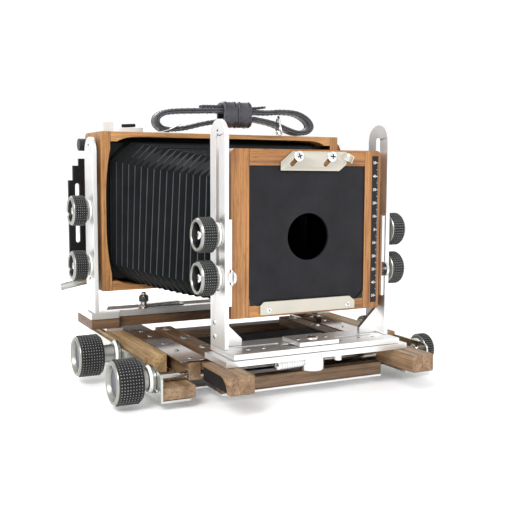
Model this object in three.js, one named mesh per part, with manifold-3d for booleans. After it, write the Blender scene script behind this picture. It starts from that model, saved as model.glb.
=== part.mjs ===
// A wooden panoramic view camera: walnut bed and standards on aluminium uprights, a tapered
// bellows, a square lens board and a leather strap handle. Millimetres, +Z up. The front
// faces -Y, and the origin is under the middle of the bounding box, on the ground.
import * as THREE from 'three';
import { mergeVertices } from 'three/addons/utils/BufferGeometryUtils.js';
import Module from 'manifold-3d';

const wasm = await Module();
wasm.setup();

// ---- driving dimensions -------------------------------------------------------------
const GAP = 0.3;                      // running gap between neighbouring pieces
const FRONT_END = -126;               // front end of the bed
const LENS_FRAME_Y = FRONT_END + 42.5; // front face of the lens frame
const BOX_Y = LENS_FRAME_Y + 141;     // front face of the rear box
const BOX_DEPTH = 45;

const BASE_HALF = 112.95;             // half width over the side brackets
const SHEET = 1.6;                    // aluminium sheet of the base
const BOTTOM_PLATE_Z = 5.9;
const BASE_RAIL_Z = [7.8, 16.2];
const UPPER_RAIL_Z = [16.5, 30];
const BED_Z = [23.5, 31];             // inner rails of the sliding bed
const LOWER_PLATE_Z = [31.3, 35.4];
const SHIFT_PLATE_Z = [35.7, 39.7];
const CLAMP_PLATE_Z = [40, 43.1];

const BASE_FRONT_Y = LENS_FRAME_Y + 2.5;
const BASE_BACK_Y = LENS_FRAME_Y + 185;
const OUTER_RAIL_FRONT_Y = LENS_FRAME_Y + 44;
const GUIDE_FRONT_Y = LENS_FRAME_Y + 15;
const GUIDE_BACK_Y = LENS_FRAME_Y + 168;

const TRIPOD_SOCKET_Y = 22;
const FRONT_FOCUS = { y: LENS_FRAME_Y + 20, z: 19.5, end: 142.4 };
const REAR_FOCUS = { y: LENS_FRAME_Y + 100, z: 22, end: 146.9 };
const FOCUS_KNOB_R = 16;
const SMALL_KNOB = { r: 12, end: 125.4 };  // the right-hand knobs, close to their bracket
const LOCK_KNOB_R = 12.5;

const SWING_Y = LENS_FRAME_Y - 6;     // swing axis of the front standard
const UPRIGHT = { inner: 65.2, outer: 68.3, y0: -4, y1: 21, slot: 5 };
const UPRIGHT_TOP_Z = 199;
const BOLT_Y = LENS_FRAME_Y + 8.5;    // bolts of the front lock knobs
const TILT_Z = 119.5;
const RISE_LOCK_Z = 89.5;

const LENS_FRAME = { half: 61.85, z0: 60.5, z1: 179, depth: 20 };
const BOARD = { half: 47.75, z0: 68.5, z1: 167.5, chamfer: 5.5, depth: 3 };
const LENS_HOLE = { r: 17, z: 116.5 };

const BOX = { half: 112.55, z0: 64.7, z1: 195.5 };
const REAR_UPRIGHT = { inner: 116.25, outer: 119.65, y0: 140, y1: 165 };
const REAR_TILT_Z = 131.1;
const REAR_LOCK_Z = 86;
const REAR_BOLT_Y = LENS_FRAME_Y + 152;
const REAR_CLAMP = { x: -73.4, y: LENS_FRAME_Y + 153 };

// ---- materials ----------------------------------------------------------------------
const material = (color, roughness, metalness) =>
  new THREE.MeshStandardMaterial({ color, roughness, metalness });
const walnut = material(0x8a5a34, 0.5, 0);
const frameWood = material(0xb9793f, 0.45, 0);
const aluminium = material(0xd9dadb, 0.35, 0.9);
const nickel = material(0xb4b3ac, 0.2, 1);
const blackAnodised = material(0x1d1d20, 0.5, 0.4);
const knobBlack = material(0x33363a, 0.55, 0.5);
const boardBlack = material(0x2a2a2e, 0.7, 0);
const bellowsBlack = material(0x17191b, 0.8, 0);
const leather = material(0x24262b, 0.6, 0);
const frosted = material(0xcfd8d8, 0.6, 0);

// ---- solids -------------------------------------------------------------------------
const camera = new THREE.Group();

function piece(name, geometry, finish) {
  const mesh = new THREE.Mesh(geometry, finish);
  mesh.name = name;
  camera.add(mesh);
}

function box(x0, x1, y0, y1, z0, z1) {
  const geometry = new THREE.BoxGeometry(x1 - x0, y1 - y0, z1 - z0);
  return geometry.translate((x0 + x1) / 2, (y0 + y1) / 2, (z0 + z1) / 2);
}

function outline(points) {
  return new THREE.Shape(points.map(([a, b]) => new THREE.Vector2(a, b)));
}

const extrude = (shape, depth) =>
  new THREE.ExtrudeGeometry(shape, { depth, bevelEnabled: false, curveSegments: 8 });

// A shape drawn in (y, z) and carried along X.
function alongX(shape, x0, x1) {
  const turn = new THREE.Matrix4().set(0, 0, 1, x0, 1, 0, 0, 0, 0, 1, 0, 0, 0, 0, 0, 1);
  return extrude(shape, x1 - x0).applyMatrix4(turn);
}

// A shape drawn in (x, z) and carried along Y.
function alongY(shape, y0, y1) {
  const turn = new THREE.Matrix4().set(1, 0, 0, 0, 0, 0, -1, y1, 0, 1, 0, 0, 0, 0, 0, 1);
  return extrude(shape, y1 - y0).applyMatrix4(turn);
}

// A shape drawn in (x, y) and carried along Z.
const alongZ = (shape, z0, z1) => extrude(shape, z1 - z0).translate(0, 0, z0);

// A turned piece on an axis along X: profile points are [radius, x].
function turnedX(profile, y, z, segments = 16) {
  const points = profile.map(([r, x]) => new THREE.Vector2(r, x));
  const geometry = new THREE.LatheGeometry(points, segments);
  return geometry.rotateZ(-Math.PI / 2).translate(0, y, z);
}

// A turned piece on an axis along Z: profile points are [radius, z], from the bottom up.
function turnedZ(profile, x, y, segments = 20) {
  const points = profile.map(([r, z]) => new THREE.Vector2(r, z));
  const geometry = new THREE.LatheGeometry(points, segments);
  return geometry.rotateX(Math.PI / 2).translate(x, y, 0);
}

const rodX = (r, x0, x1, y, z, segments = 16) =>
  turnedX([[0, x0], [r, x0], [r, x1], [0, x1]], y, z, segments);
const rodZ = (r, z0, z1, x, y, segments = 16) =>
  turnedZ([[0, z0], [r, z0], [r, z1], [0, z1]], x, y, segments);

function solid(geometry) {
  const bare = geometry.clone();
  bare.deleteAttribute('normal');
  bare.deleteAttribute('uv');
  const merged = mergeVertices(bare, 1e-4);
  return new wasm.Manifold(new wasm.Mesh({
    numProp: 3,
    vertProperties: new Float32Array(merged.attributes.position.array),
    triVerts: new Uint32Array(merged.index.array),
  }));
}

function fromSolid(result) {
  const mesh = result.getMesh();
  const geometry = new THREE.BufferGeometry();
  geometry.setAttribute('position', new THREE.BufferAttribute(mesh.vertProperties, 3));
  geometry.setIndex(new THREE.BufferAttribute(mesh.triVerts, 1));
  return geometry;
}

const cut = (base, ...tools) =>
  fromSolid(tools.reduce((rest, tool) => rest.subtract(solid(tool)), solid(base)));
const join = (first, ...others) =>
  fromSolid(others.reduce((sum, other) => sum.add(solid(other)), solid(first)));

// The same piece on the other side of the camera.
function mirrored(geometry) {
  const copy = mergeVertices(geometry.clone());
  copy.scale(-1, 1, 1);
  const index = copy.index.array;
  for (let i = 0; i < index.length; i += 3) {
    [index[i], index[i + 1]] = [index[i + 1], index[i]];
  }
  return copy;
}

function pair(name, geometry, finish) {
  piece(`${name}_right`, geometry, finish);
  piece(`${name}_left`, mirrored(geometry), finish);
}

// ---- base ---------------------------------------------------------------------------
function buildBase() {
  // Side bracket: an upright web with a rounded front corner and a flange turned inwards.
  const top = 27;
  const corner = 6;
  const web = new THREE.Shape();
  web.moveTo(BASE_FRONT_Y - 0.2, BOTTOM_PLATE_Z);
  web.lineTo(BASE_BACK_Y, BOTTOM_PLATE_Z);
  web.lineTo(BASE_BACK_Y, top);
  web.lineTo(BASE_FRONT_Y + corner, top);
  web.quadraticCurveTo(BASE_FRONT_Y - 0.2, top, BASE_FRONT_Y - 0.2, top - corner);
  const flange = box(BASE_HALF - 22, BASE_HALF - 0.5, BASE_FRONT_Y - 0.2, BASE_BACK_Y,
    BOTTOM_PLATE_Z, BOTTOM_PLATE_Z + SHEET);
  const holes = [FRONT_FOCUS, REAR_FOCUS].map(({ y, z }) =>
    rodX(4.5, BASE_HALF - 5, BASE_HALF + 5, y, z));
  const bracket = join(alongX(web, BASE_HALF - SHEET, BASE_HALF), flange);
  pair('side_bracket', cut(bracket, ...holes), aluminium);

  // Bottom plate, with a tongue that carries the front cross board.
  const tongue = 67.6;
  const wide = BASE_HALF - 22 - GAP;
  const shoulder = BASE_FRONT_Y + 26;
  piece('bottom_plate', alongZ(outline([
    [-tongue, BASE_FRONT_Y - 0.2], [tongue, BASE_FRONT_Y - 0.2], [tongue, shoulder],
    [wide, shoulder], [wide, BASE_BACK_Y], [-wide, BASE_BACK_Y], [-wide, shoulder],
    [-tongue, shoulder],
  ]), BOTTOM_PLATE_Z, BOTTOM_PLATE_Z + SHEET), aluminium);

  // Tripod plate with its threaded socket.
  const socket = rodZ(4.75, -1, 10, 0, TRIPOD_SOCKET_Y);
  const tripod = box(-55, 55, -43, 47, 0, BOTTOM_PLATE_Z - GAP);
  piece('tripod_plate', cut(tripod, socket), blackAnodised);

  // Wooden frame of the base: two side rails and two cross boards.
  const railOuter = BASE_HALF - SHEET - GAP;
  pair('base_rail', box(87.5, railOuter, BASE_FRONT_Y, BASE_BACK_Y, ...BASE_RAIL_Z), walnut);
  piece('front_cross_board', box(-tongue, tongue, BASE_FRONT_Y, BASE_FRONT_Y + 9,
    BASE_RAIL_Z[0], BASE_RAIL_Z[1] + 0.8), walnut);
  piece('rear_cross_board', box(-86.9, 86.9, BASE_BACK_Y - 16, BASE_BACK_Y,
    ...BASE_RAIL_Z), walnut);

  // Guide rails under polished wing plates, notched over the front focus shaft.
  const [low, high] = UPPER_RAIL_Z;
  const nose = GUIDE_FRONT_Y + 1.9;
  const notch = FRONT_FOCUS.y + 3.2;
  const notchTop = FRONT_FOCUS.z + 3;
  const wingUnder = 28.7;
  pair('guide_rail', alongX(outline([
    [GUIDE_FRONT_Y, low], [nose, low], [nose, notchTop], [notch, notchTop], [notch, low],
    [GUIDE_BACK_Y, low], [GUIDE_BACK_Y, wingUnder], [GUIDE_FRONT_Y, wingUnder],
  ]), 78.3, 87.2), walnut);
  pair('wing_plate', box(72, 92.6, GUIDE_FRONT_Y + 2, GUIDE_BACK_Y - 3,
    wingUnder + GAP, wingUnder + 1.5), nickel);
  piece('guide_cross_bar', box(-78, 78, GUIDE_BACK_Y - 14, GUIDE_BACK_Y,
    low, BED_Z[0] - GAP), walnut);

  // Outer rails, which carry the rear standard: a channel under each clears the pinion
  // of its focus knob while the carriage runs forward and back.
  const channel = [REAR_FOCUS.y - 34, REAR_FOCUS.y + 24];
  const channelTop = REAR_FOCUS.z + 3.6;
  pair('outer_rail', alongX(outline([
    [OUTER_RAIL_FRONT_Y, low], [channel[0], low], [channel[0], channelTop],
    [channel[1], channelTop], [channel[1], low], [BASE_BACK_Y, low], [BASE_BACK_Y, high],
    [OUTER_RAIL_FRONT_Y, high],
  ]), 92.9, railOuter), walnut);
}

// ---- focus drives ---------------------------------------------------------------------
// A knob from its inner collar to its dished outer face, x counted outwards.
function focusKnobProfile(end, shaftR, shaftStart) {
  return [
    [0, shaftStart], [shaftR, shaftStart], [shaftR, BASE_HALF + GAP], [10, BASE_HALF + GAP],
    [10, BASE_HALF + 4], [6.5, BASE_HALF + 4], [6.5, end - 19.5], [14.8, end - 19.5],
    [FOCUS_KNOB_R, end - 18.3], [FOCUS_KNOB_R, end - 1.2], [14.8, end],
    [12.6, end], [11, end - 3.5], [0, end - 3.5],
  ];
}

// A short knob held close to its bracket by one washer, x counted outwards.
function smallKnobProfile(shaftR, shaftStart) {
  const { r, end } = SMALL_KNOB;
  const start = BASE_HALF + GAP;
  return [
    [0, shaftStart], [shaftR, shaftStart], [shaftR, start], [8.6, start], [8.6, start + 1.8],
    [r - 1, start + 1.8], [r, start + 2.8], [r, end - 1], [r - 1, end], [0, end],
  ];
}

// A focus drive's large knob on the left and its small one on the right.
function focusKnobs(name, { y, z, end }, shaftR, shaftStart) {
  const large = turnedX(focusKnobProfile(end, shaftR, shaftStart), y, z);
  piece(`${name}_left`, mirrored(large), knobBlack);
  piece(`${name}_right`, turnedX(smallKnobProfile(shaftR, shaftStart), y, z), knobBlack);
}

function buildFocusDrives() {
  const { y, z } = FRONT_FOCUS;
  const hub = 108;                    // where each front knob meets the shared shaft
  piece('front_focus_shaft', join(rodX(2.5, -hub, hub, y, z, 12), rodX(3.7, -8, 8, y, z, 12)),
    nickel);
  focusKnobs('front_focus_knob', FRONT_FOCUS, 3, hub + GAP);
  focusKnobs('rear_focus_knob', REAR_FOCUS, 2.9, 94);
}

// ---- front bed ------------------------------------------------------------------------
function buildFrontBed() {
  const blockBack = LENS_FRAME_Y + 4;
  const lip = FRONT_END + 6;          // full height only at the nose, coved behind it
  const under = BED_Z[1] - 2.6;
  const block = new THREE.Shape();
  block.moveTo(FRONT_END, 18.3);
  block.lineTo(lip - 1, 18.3);
  block.quadraticCurveTo(lip + 1, under - 1, lip + 9, under);
  block.lineTo(blockBack, under);
  block.lineTo(blockBack, BED_Z[1]);
  block.lineTo(FRONT_END, BED_Z[1]);
  pair('bed_block', alongX(block, 63.9, 82.3), walnut);

  const railStart = blockBack + GAP;
  const railEnd = LENS_FRAME_Y + 143;
  // Each inner rail has a tongue that runs under the wing plate.
  const [railLow, railTop] = BED_Z;
  const tongueTop = 28.6;
  const rail = outline([[53, railLow], [77.9, railLow], [77.9, tongueTop],
    [66.9, tongueTop], [66.9, railTop], [53, railTop]]);
  pair('inner_rail', alongY(rail, railStart, railEnd), walnut);

  piece('bed_panel', box(-52.7, 52.7, LENS_FRAME_Y + 6, LENS_FRAME_Y + 90, 25, 30),
    blackAnodised);

  const plate = box(-74.6, 74.6, LENS_FRAME_Y - 20, LENS_FRAME_Y + 17, ...LOWER_PLATE_Z);
  const bore = rodZ(4.4, 30, 37, 0, SWING_Y);
  const pinHole = rodZ(1.9, 30, 37, 17.5, LENS_FRAME_Y - 14);
  piece('standard_base_plate', cut(plate, bore, pinHole), aluminium);
}

// ---- front standard ---------------------------------------------------------------------
function roundedBar(halfY, y, z0, top) {
  const shape = new THREE.Shape();
  shape.moveTo(y - halfY, z0);
  shape.lineTo(y + halfY, z0);
  shape.lineTo(y + halfY, top - halfY);
  shape.absarc(y, top - halfY, halfY, 0, Math.PI, false);
  return shape;
}

function slotPath(y, width, z0, z1) {
  const r = width / 2;
  const path = new THREE.Path();
  path.absarc(y, z1 - r, r, 0, Math.PI, false);
  path.absarc(y, z0 + r, r, Math.PI, 2 * Math.PI, false);
  return path;
}

function buildFrontStandard() {
  // Lock lever under the base plate: a boss with a short fluted handle.
  const boss = rodZ(9.3, 22.8, 31, 0, SWING_Y, 20);
  const handle = rodX(3.2, -34, -6, 0, 0, 10).rotateY(-0.08).rotateZ(0.22)
    .translate(0, SWING_Y, 26.5);
  piece('swing_lock_lever', join(boss, handle), aluminium);
  piece('swing_detent_pin', turnedZ([[0, 27], [2.8, 27], [2.8, 31], [1.5, 31], [1.5, 35.2],
    [0, 35.2]], 17.5, LENS_FRAME_Y - 14, 12), aluminium);

  // Clamp plate with the pivot stud that the standard swings on.
  const clamp = box(-16.3, 16.3, LENS_FRAME_Y - 17.5, LENS_FRAME_Y + 9, ...CLAMP_PLATE_Z);
  piece('swing_clamp_plate', join(clamp, rodZ(4, 31.5, 41, 0, SWING_Y)), aluminium);

  // Shift plate: the long slot lets it pass the pivot stud.
  const slot = (x0, x1, y, r) => {
    const path = new THREE.Path();
    path.absarc(x1, y, r, -Math.PI / 2, Math.PI / 2, false);
    path.absarc(x0, y, r, Math.PI / 2, 1.5 * Math.PI, false);
    return path;
  };
  const plate = outline([
    [-68.4, LENS_FRAME_Y - 19], [68.4, LENS_FRAME_Y - 19],
    [68.4, LENS_FRAME_Y + 21], [-68.4, LENS_FRAME_Y + 21],
  ]);
  plate.holes.push(slot(-20.5, 20.5, SWING_Y, 4.4));
  plate.holes.push(slot(-57, -25, LENS_FRAME_Y + 2, 2), slot(25, 57, LENS_FRAME_Y + 2, 2));
  piece('shift_plate', alongZ(plate, ...SHIFT_PLATE_Z), aluminium);

  // Slotted uprights, each with a gusset foot on its inner side.
  const { inner, outer, y0, y1, slot: width } = UPRIGHT;
  const half = (y1 - y0) / 2;
  const bar = roundedBar(half, BOLT_Y, CLAMP_PLATE_Z[0], UPRIGHT_TOP_Z);
  bar.holes.push(slotPath(BOLT_Y, width, 80, 189));
  const footZ = CLAMP_PLATE_Z[0];
  const gusset = alongY(outline([
    [inner + 0.5, footZ], [50, footZ], [50, footZ + 4.5], [inner - 0.4, 59], [inner + 0.5, 59],
  ]), BOLT_Y - 1.6, BOLT_Y + 1.6);
  pair('front_upright', join(alongX(bar, inner, outer), gusset), aluminium);

  // Rise sliders between the uprights and the lens frame.
  const slider = alongX(outline([
    [LENS_FRAME_Y - 3, 70], [LENS_FRAME_Y + 18, 70], [LENS_FRAME_Y + 18, 130.5],
    [LENS_FRAME_Y - 3, 130.5],
  ]), 62.4, 64.8);
  const bores = [TILT_Z, RISE_LOCK_Z].map((z) => rodX(2.6, 60, 67, BOLT_Y, z, 12));
  pair('rise_slider', cut(slider, ...bores), aluminium);

  const lock = lockKnobProfile(outer + GAP, 62.7);
  pair('front_tilt_knob', turnedX(lock, BOLT_Y, TILT_Z), knobBlack);
  pair('rise_lock_knob', turnedX(lock, BOLT_Y, RISE_LOCK_Z), knobBlack);
}

// A lock knob on its bolt: washer, knurled body and a deep cup in the outer face.
function lockKnobProfile(start, boltStart) {
  const end = start + 16;
  return [
    [0, boltStart], [2.2, boltStart], [2.2, start], [8.5, start], [8.5, start + 3.6],
    [LOCK_KNOB_R - 0.8, start + 3.6], [LOCK_KNOB_R, start + 4.6], [LOCK_KNOB_R, end - 1],
    [LOCK_KNOB_R - 1, end], [9.6, end], [8.6, end - 5], [4, end - 5], [3.2, end - 1.5],
    [0, end - 1.5],
  ];
}

function buildLensFrame() {
  const { half, z0, z1, depth } = LENS_FRAME;
  const y = LENS_FRAME_Y;
  const round = 3.5;
  const face = new THREE.Shape();
  face.moveTo(-half, z0);
  face.lineTo(half, z0);
  face.lineTo(half, z1 - round);
  face.absarc(half - round, z1 - round, round, 0, Math.PI / 2, false);
  face.absarc(round - half, z1 - round, round, Math.PI / 2, Math.PI, false);
  const seat = (grow) => outline([
    [-BOARD.half + BOARD.chamfer - grow, BOARD.z0 - grow],
    [BOARD.half - BOARD.chamfer + grow, BOARD.z0 - grow],
    [BOARD.half + grow, BOARD.z0 + BOARD.chamfer], [BOARD.half + grow, BOARD.z1 + grow],
    [-BOARD.half - grow, BOARD.z1 + grow], [-BOARD.half - grow, BOARD.z0 + BOARD.chamfer],
  ]);
  const throat = box(-41, 41, y + 1, y + depth + 1, 76, 160);
  const frame = cut(alongY(face, y, y + depth),
    alongY(seat(0), y - 1, y + BOARD.depth), throat);
  piece('lens_frame', frame, frameWood);

  const board = seat(-GAP);
  const hole = new THREE.Path();
  hole.absarc(0, LENS_HOLE.z, LENS_HOLE.r, 0, 2 * Math.PI, false);
  board.holes.push(hole);
  piece('lens_board', alongY(board, y + 0.4, y + BOARD.depth - GAP), boardBlack);

  // Sliding latch over the top of the board, with two slanted slots and a bent tab.
  const screws = [-9.2, 18.4];
  const latchPlate = outline([[-24, 164], [24.5, 163.8], [31.5, 169], [33, 177.8],
    [-14.3, 177.8], [-24, 170]]);
  const reach = 5.7;
  for (const x of screws) {
    const path = new THREE.Path();
    const z = 174.2;
    path.absarc(x, z, 1.6, -Math.PI / 4, 0.75 * Math.PI, false);
    path.absarc(x - reach, z - reach, 1.6, 0.75 * Math.PI, 1.75 * Math.PI, false);
    latchPlate.holes.push(path);
  }
  const tab = alongX(outline([[y - 1.4, 169.5], [y - 6, 171], [y - 6, 172.2], [y - 1.4, 170.9]]),
    27.5, 32.2);
  piece('board_latch', join(alongY(latchPlate, y - 1.5, y - GAP), tab), nickel);
  piece('board_foot_plate', alongY(outline([[-39.6, 61.8], [39.5, 61.8], [39.5, 67.6],
    [34.8, 71.3], [-36.5, 71.3], [-39.6, 69]]), y - 1.5, y - GAP), nickel);
}

// ---- bellows ------------------------------------------------------------------------------
// A pleated sleeve: each ring is a rectangle with cut corners, and the rings step in and
// out between ridge and valley from the lens frame back into the rear box.
function buildBellows() {
  const folds = 18;
  const wall = 1.2;
  const front = { y: LENS_FRAME_Y + LENS_FRAME.depth + GAP, half: 50, z0: 69, z1: 168, cut: 8 };
  const back = { y: BOX_Y + 12.4, half: 101, z0: 74, z1: 185, cut: 13 };
  const depth = 2.6;
  const mix = (a, b, t) => a + (b - a) * t;
  const ring = (t, grow) => {
    const half = mix(front.half, back.half, t) + grow;
    const z0 = mix(front.z0, back.z0, t) - grow;
    const z1 = mix(front.z1, back.z1, t) + grow;
    const c = mix(front.cut, back.cut, t);
    const y = mix(front.y, back.y, t);
    return [[-half + c, z0], [half - c, z0], [half, z0 + c], [half, z1 - c],
      [half - c, z1], [-half + c, z1], [-half, z1 - c], [-half, z0 + c]]
      .map(([x, z]) => [x, y, z]);
  };
  const rings = [];
  const steps = folds * 2;
  for (let i = 0; i <= steps; i += 1) {
    rings.push(ring(i / steps, i % 2 ? depth : -depth));
  }
  for (let i = steps; i >= 0; i -= 1) {
    rings.push(ring(i / steps, (i % 2 ? depth : -depth) - wall));
  }
  const sides = 8;
  const positions = rings.flat(2);
  const index = [];
  rings.forEach((_, i) => {
    const here = i * sides;
    const next = ((i + 1) % rings.length) * sides;
    for (let k = 0; k < sides; k += 1) {
      const l = (k + 1) % sides;
      index.push(here + k, next + l, here + l, here + k, next + k, next + l);
    }
  });
  const geometry = new THREE.BufferGeometry();
  geometry.setAttribute('position', new THREE.Float32BufferAttribute(positions, 3));
  geometry.setIndex(index);
  piece('bellows', geometry, bellowsBlack);
}

// ---- rear standard --------------------------------------------------------------------------
function buildRearStandard() {
  const half = BASE_HALF + 9;
  const y0 = LENS_FRAME_Y + 143;
  const y1 = LENS_FRAME_Y + 188;
  // Both boards stand back between their ends.
  const setBack = (back) => outline([
    [-half, y0], [-98, y0], [-96, y0 + 6], [96, y0 + 6], [98, y0], [half, y0],
    [half, back], [-half, back],
  ]);
  piece('rear_board', alongZ(setBack(y1), 33, 41), walnut);
  // Swing plate: a flat frame with one long opening.
  const plate = setBack(y1 - 3);
  const open = new THREE.Path();
  open.moveTo(-105, y0 + 14);
  open.lineTo(105, y0 + 14);
  open.lineTo(99, y1 - 14);
  open.lineTo(-99, y1 - 14);
  plate.holes.push(open);
  piece('rear_swing_plate', alongZ(plate, 41.3, 46.5), aluminium);
  const lever = join(turnedZ([[0, 47], [5, 47], [5, 50.5], [4, 50.5], [4, 58.6], [2.8, 60.5],
    [0, 60.5]], REAR_CLAMP.x, REAR_CLAMP.y, 16),
  box(REAR_CLAMP.x, REAR_CLAMP.x + 36, REAR_CLAMP.y - 3, REAR_CLAMP.y + 3, 47, 48.6));
  piece('rear_lock_lever', lever, nickel);

  const middle = LENS_FRAME_Y + (REAR_UPRIGHT.y0 + REAR_UPRIGHT.y1) / 2;
  const bar = roundedBar((REAR_UPRIGHT.y1 - REAR_UPRIGHT.y0) / 2, middle, 46.8, 191);
  const bolts = [REAR_TILT_Z, REAR_LOCK_Z].map((z) => rodX(2.6, 110, 125, REAR_BOLT_Y, z, 12));
  pair('rear_upright', cut(alongX(bar, REAR_UPRIGHT.inner, REAR_UPRIGHT.outer), ...bolts),
    aluminium);
  const lock = lockKnobProfile(REAR_UPRIGHT.outer + GAP, 113.5);
  pair('rear_tilt_knob', turnedX(lock, REAR_BOLT_Y, REAR_TILT_Z), knobBlack);
  pair('rear_lock_knob', turnedX(lock, REAR_BOLT_Y, REAR_LOCK_Z), knobBlack);
}

// Opening of the rear box: thick at the corners and hollowed along each side.
function scallopedOpening() {
  const corner = { x: BOX.half - 8, z0: BOX.z0 + 8, z1: BOX.z1 - 8 };
  const deep = 4;
  const run = 20;
  const path = new THREE.Path();
  path.moveTo(-corner.x, corner.z0 + 6);
  path.lineTo(-corner.x, corner.z0);
  path.lineTo(-corner.x + 6, corner.z0);
  path.quadraticCurveTo(-corner.x + run * 0.6, corner.z0 - deep, -corner.x + run + 6, corner.z0 - deep);
  path.lineTo(corner.x - run - 6, corner.z0 - deep);
  path.quadraticCurveTo(corner.x - run * 0.6, corner.z0 - deep, corner.x - 6, corner.z0);
  path.lineTo(corner.x, corner.z0);
  path.lineTo(corner.x, corner.z0 + 6);
  path.quadraticCurveTo(corner.x + deep, corner.z0 + 25, corner.x + deep, corner.z0 + 45);
  path.lineTo(corner.x + deep, corner.z1 - 45);
  path.quadraticCurveTo(corner.x + deep, corner.z1 - 25, corner.x, corner.z1 - 6);
  path.lineTo(corner.x, corner.z1);
  path.lineTo(corner.x - 6, corner.z1);
  path.quadraticCurveTo(corner.x - run * 0.6, corner.z1 + deep, corner.x - run - 6, corner.z1 + deep);
  path.lineTo(-corner.x + run + 6, corner.z1 + deep);
  path.quadraticCurveTo(-corner.x + run * 0.6, corner.z1 + deep, -corner.x + 6, corner.z1);
  path.lineTo(-corner.x, corner.z1);
  path.lineTo(-corner.x, corner.z1 - 6);
  path.quadraticCurveTo(-corner.x - deep, corner.z1 - 25, -corner.x - deep, corner.z1 - 45);
  path.lineTo(-corner.x - deep, corner.z0 + 45);
  path.quadraticCurveTo(-corner.x - deep, corner.z0 + 25, -corner.x, corner.z0 + 6);
  return path;
}

function buildRearBox() {
  const { half, z0, z1 } = BOX;
  const wall = outline([[-half, z0], [half, z0], [half, z1], [-half, z1]]);
  wall.holes.push(scallopedOpening());
  piece('rear_box', alongY(wall, BOX_Y, BOX_Y + BOX_DEPTH), frameWood);

  // Black frame inside the box that the bellows is glued to.
  const inside = 104.2;
  const ring = outline([[-inside, z0 + 8.4], [inside, z0 + 8.4], [inside, z1 - 8.4],
    [-inside, z1 - 8.4]]);
  const throat = new THREE.Path(outline([[-88, 84], [88, 84], [88, 176], [-88, 176]]).getPoints());
  ring.holes.push(throat);
  piece('bellows_rear_frame', alongY(ring, BOX_Y + 12.8, BOX_Y + 15.8), blackAnodised);

  // Ground-glass back: a stepped black frame with slotted side wings.
  const y = BOX_Y + BOX_DEPTH + GAP;
  const back = outline([[-112, 66], [112, 66], [112, 72], [128, 72], [128, 155.5],
    [124, 155.5], [124, 168], [119, 168], [119, 174], [112, 174], [112, 194], [-112, 194],
    [-112, 174], [-119, 174], [-119, 168], [-124, 168], [-124, 155.5], [-128, 155.5],
    [-128, 72], [-112, 72]]);
  const window = new THREE.Path(outline([[-88, 100], [88, 100], [88, 160], [-88, 160]]).getPoints());
  back.holes.push(window, slotPath(-120.5, 4, 102, 153), slotPath(120.5, 4, 102, 153));
  piece('back_frame', alongY(back, y, y + 3.4), blackAnodised);
  const rim = outline([[-100, 86], [100, 86], [100, 174], [-100, 174]]);
  rim.holes.push(new THREE.Path(outline([[-84, 103], [84, 103], [84, 157], [-84, 157]]).getPoints()));
  piece('glass_holder', alongY(rim, y + 3.7, -FRONT_END), blackAnodised);
  piece('ground_glass', alongY(outline([[-83.7, 103.3], [83.7, 103.3], [83.7, 156.7],
    [-83.7, 156.7]]), y + 6, y + 8), frosted);

  const knob = turnedX([[0, 112.9], [2.4, 112.9], [2.4, 115], [5.2, 115], [5.2, 121.5],
    [0, 121.5]], BOX_Y + 36, 185.5, 14);
  pair('back_release_knob', knob, knobBlack);
}

// ---- strap handle ---------------------------------------------------------------------------
// The folded leather strap over the box, as one plain band between its two lugs.
function buildStrap() {
  const low = BOX.z1 + GAP;
  const high = 224.5;
  const under = 203.5;
  const band = new THREE.Shape();
  band.moveTo(-60, low);
  band.lineTo(-36, low);
  band.lineTo(-28, under - 3);
  band.lineTo(-16, under);
  band.lineTo(44, under);
  band.lineTo(54, low);
  band.lineTo(80, low);
  band.quadraticCurveTo(102, 206, 84, 217);
  band.lineTo(40, high);
  band.lineTo(-4, high);
  band.lineTo(-46, 218);
  band.quadraticCurveTo(-66, 208, -60, low);
  const y = BOX_Y + 22;
  piece('strap_handle', alongY(band, y - 9, y + 9), leather);
}

buildBase();
buildFocusDrives();
buildFrontBed();
buildFrontStandard();
buildLensFrame();
buildBellows();
buildRearStandard();
buildRearBox();
buildStrap();

export default camera;
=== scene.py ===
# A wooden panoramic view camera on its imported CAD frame: materials for the frame's own pieces,
# and finer pieces for its bellows, strap, knobs, screws, scale and racks. Metres, +Z up.
import math
import bpy
import bmesh
from mathutils import Matrix, Vector


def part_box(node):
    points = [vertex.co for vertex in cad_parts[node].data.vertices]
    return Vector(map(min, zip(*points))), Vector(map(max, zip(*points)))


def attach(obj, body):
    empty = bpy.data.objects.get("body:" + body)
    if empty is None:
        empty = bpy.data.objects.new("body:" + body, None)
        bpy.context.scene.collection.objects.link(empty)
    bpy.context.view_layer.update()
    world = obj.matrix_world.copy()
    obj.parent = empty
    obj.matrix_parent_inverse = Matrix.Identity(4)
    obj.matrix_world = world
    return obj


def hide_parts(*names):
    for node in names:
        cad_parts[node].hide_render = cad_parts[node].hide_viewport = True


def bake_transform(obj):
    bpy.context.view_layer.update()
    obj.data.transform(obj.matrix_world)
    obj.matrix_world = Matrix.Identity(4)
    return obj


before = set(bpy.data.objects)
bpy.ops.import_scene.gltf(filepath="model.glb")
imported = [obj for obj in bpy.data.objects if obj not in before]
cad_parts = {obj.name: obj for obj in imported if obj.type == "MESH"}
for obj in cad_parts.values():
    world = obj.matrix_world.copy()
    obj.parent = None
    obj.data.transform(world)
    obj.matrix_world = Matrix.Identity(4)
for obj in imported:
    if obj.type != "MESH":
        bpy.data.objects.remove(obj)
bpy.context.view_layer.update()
MM = 0.001
GAP = 0.3 * MM  # between pieces that move on each other
SIDES = (("left", -1), ("right", 1))


# ---- camera, lights and floor ----

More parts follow.
